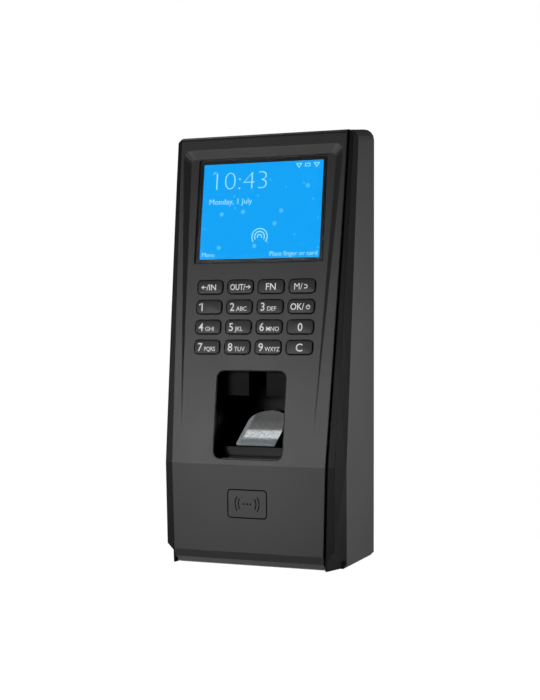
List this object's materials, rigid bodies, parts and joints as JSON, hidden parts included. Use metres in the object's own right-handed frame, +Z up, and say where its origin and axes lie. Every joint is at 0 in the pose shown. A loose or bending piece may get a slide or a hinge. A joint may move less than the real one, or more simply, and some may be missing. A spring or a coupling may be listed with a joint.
{
  "type": "fingerprint scanner terminal",
  "caption": "Wall-mounted access terminal with a tilted colour screen, a keypad, a recessed fingerprint sensor and a card-reading lower face.",
  "frame": {"origin": "on the wall plane, at the middle of the terminal's width and half of its height, on the back face of the wall plate", "axes": "+X to the right of a person who faces the terminal, +Y into the wall, +Z up; the front faces -Y"},
  "size_m": [0.0846, 0.0498, 0.1946],
  "materials": {
    "cover_grey": "fine matte grain",
    "casing_grey": "rougher matte grain",
    "gloss_black": "high gloss",
    "lens_black": "clear hard window with a black border",
    "lcd": "lit blue display",
    "key_grey": "satin, with white legends",
    "silicone": "matte silicone",
    "board_green": "solder mask",
    "platen": "coated sensing surface",
    "chip_black": "moulded",
    "steel": "zinc-coated",
    "bracket_white": "moulded",
    "terminal_green": "moulded",
    "relay_blue": "moulded",
    "ribbon_amber": "flexible film"
  },
  "bodies": {
    "terminal": {"board_screw_1": "steel", "board_screw_2": "steel", "board_screw_3": "steel", "board_screw_4": "steel", "buzzer": "chip_black", "card_antenna": "board_green", "coin_cell": "steel", "coin_cell_holder": "chip_black", "cover_screw_1": "steel", "cover_screw_2": "steel", "cover_screw_3": "steel", "cover_screw_4": "steel", "finger_guide_left": "gloss_black", "finger_guide_right": "gloss_black", "flash_memory": "chip_black", "front_cover": "cover_grey", "keypad_board": "board_green", "keypad_mat": "silicone", "keypad_ribbon": "ribbon_amber", "lcd_bracket": "bracket_white", "lcd_panel": "lcd", "lcd_ribbon": "ribbon_amber", "locking_screw": "steel", "main_board": "board_green", "network_socket": "steel", "processor": "chip_black", "rear_casing": "casing_grey", "relay": "relay_blue", "screen_lens": "lens_black", "sensor_board": "board_green", "sensor_camera": "chip_black", "sensor_lamp_strip": "board_green", "sensor_prism": "platen", "sensor_ribbon": "ribbon_amber", "sensor_well": "gloss_black", "tamper_switch": "chip_black", "terminal_block": "terminal_green", "trim_frame": "gloss_black", "wall_plate": "steel"},
    "key_in": {"key_in": "key_grey"},
    "key_out": {"key_out": "key_grey"},
    "key_fn": {"key_fn": "key_grey"},
    "key_menu": {"key_menu": "key_grey"},
    "key_1": {"key_1": "key_grey"},
    "key_2": {"key_2": "key_grey"},
    "key_3": {"key_3": "key_grey"},
    "key_ok": {"key_ok": "key_grey"},
    "key_4": {"key_4": "key_grey"},
    "key_5": {"key_5": "key_grey"},
    "key_6": {"key_6": "key_grey"},
    "key_0": {"key_0": "key_grey"},
    "key_7": {"key_7": "key_grey"},
    "key_8": {"key_8": "key_grey"},
    "key_9": {"key_9": "key_grey"},
    "key_clear": {"key_clear": "key_grey"},
    "tamper_plunger": {"tamper_plunger": "bracket_white"}
  },
  "joints": [
    {"name": "key_in_press", "type": "slide", "parent": "terminal", "child": "key_in", "axis": [0, 0.9919, -0.1271], "range_m": [0, 0.0009], "stiffness_N_per_m": 800, "springref_m": -0.0004},
    {"name": "key_out_press", "type": "slide", "parent": "terminal", "child": "key_out", "axis": [0, 0.9919, -0.1271], "range_m": [0, 0.0009], "stiffness_N_per_m": 800, "springref_m": -0.0004},
    {"name": "key_fn_press", "type": "slide", "parent": "terminal", "child": "key_fn", "axis": [0, 0.9919, -0.1271], "range_m": [0, 0.0009], "stiffness_N_per_m": 800, "springref_m": -0.0004},
    {"name": "key_menu_press", "type": "slide", "parent": "terminal", "child": "key_menu", "axis": [0, 0.9919, -0.1271], "range_m": [0, 0.0009], "stiffness_N_per_m": 800, "springref_m": -0.0004},
    {"name": "key_1_press", "type": "slide", "parent": "terminal", "child": "key_1", "axis": [0, 0.9919, -0.1271], "range_m": [0, 0.0009], "stiffness_N_per_m": 800, "springref_m": -0.0004},
    {"name": "key_2_press", "type": "slide", "parent": "terminal", "child": "key_2", "axis": [0, 0.9919, -0.1271], "range_m": [0, 0.0009], "stiffness_N_per_m": 800, "springref_m": -0.0004},
    {"name": "key_3_press", "type": "slide", "parent": "terminal", "child": "key_3", "axis": [0, 0.9919, -0.1271], "range_m": [0, 0.0009], "stiffness_N_per_m": 800, "springref_m": -0.0004},
    {"name": "key_ok_press", "type": "slide", "parent": "terminal", "child": "key_ok", "axis": [0, 0.9919, -0.1271], "range_m": [0, 0.0009], "stiffness_N_per_m": 800, "springref_m": -0.0004},
    {"name": "key_4_press", "type": "slide", "parent": "terminal", "child": "key_4", "axis": [0, 0.9919, -0.1271], "range_m": [0, 0.0009], "stiffness_N_per_m": 800, "springref_m": -0.0004},
    {"name": "key_5_press", "type": "slide", "parent": "terminal", "child": "key_5", "axis": [0, 0.9919, -0.1271], "range_m": [0, 0.0009], "stiffness_N_per_m": 800, "springref_m": -0.0004},
    {"name": "key_6_press", "type": "slide", "parent": "terminal", "child": "key_6", "axis": [0, 0.9919, -0.1271], "range_m": [0, 0.0009], "stiffness_N_per_m": 800, "springref_m": -0.0004},
    {"name": "key_0_press", "type": "slide", "parent": "terminal", "child": "key_0", "axis": [0, 0.9919, -0.1271], "range_m": [0, 0.0009], "stiffness_N_per_m": 800, "springref_m": -0.0004},
    {"name": "key_7_press", "type": "slide", "parent": "terminal", "child": "key_7", "axis": [0, 0.9919, -0.1271], "range_m": [0, 0.0009], "stiffness_N_per_m": 800, "springref_m": -0.0004},
    {"name": "key_8_press", "type": "slide", "parent": "terminal", "child": "key_8", "axis": [0, 0.9919, -0.1271], "range_m": [0, 0.0009], "stiffness_N_per_m": 800, "springref_m": -0.0004},
    {"name": "key_9_press", "type": "slide", "parent": "terminal", "child": "key_9", "axis": [0, 0.9919, -0.1271], "range_m": [0, 0.0009], "stiffness_N_per_m": 800, "springref_m": -0.0004},
    {"name": "key_clear_press", "type": "slide", "parent": "terminal", "child": "key_clear", "axis": [0, 0.9919, -0.1271], "range_m": [0, 0.0009], "stiffness_N_per_m": 800, "springref_m": -0.0004},
    {"name": "tamper_press", "type": "slide", "parent": "terminal", "child": "tamper_plunger", "axis": [0, -1, 0], "range_m": [0, 0.0008], "stiffness_N_per_m": 150, "springref_m": -0.002}
  ]
}
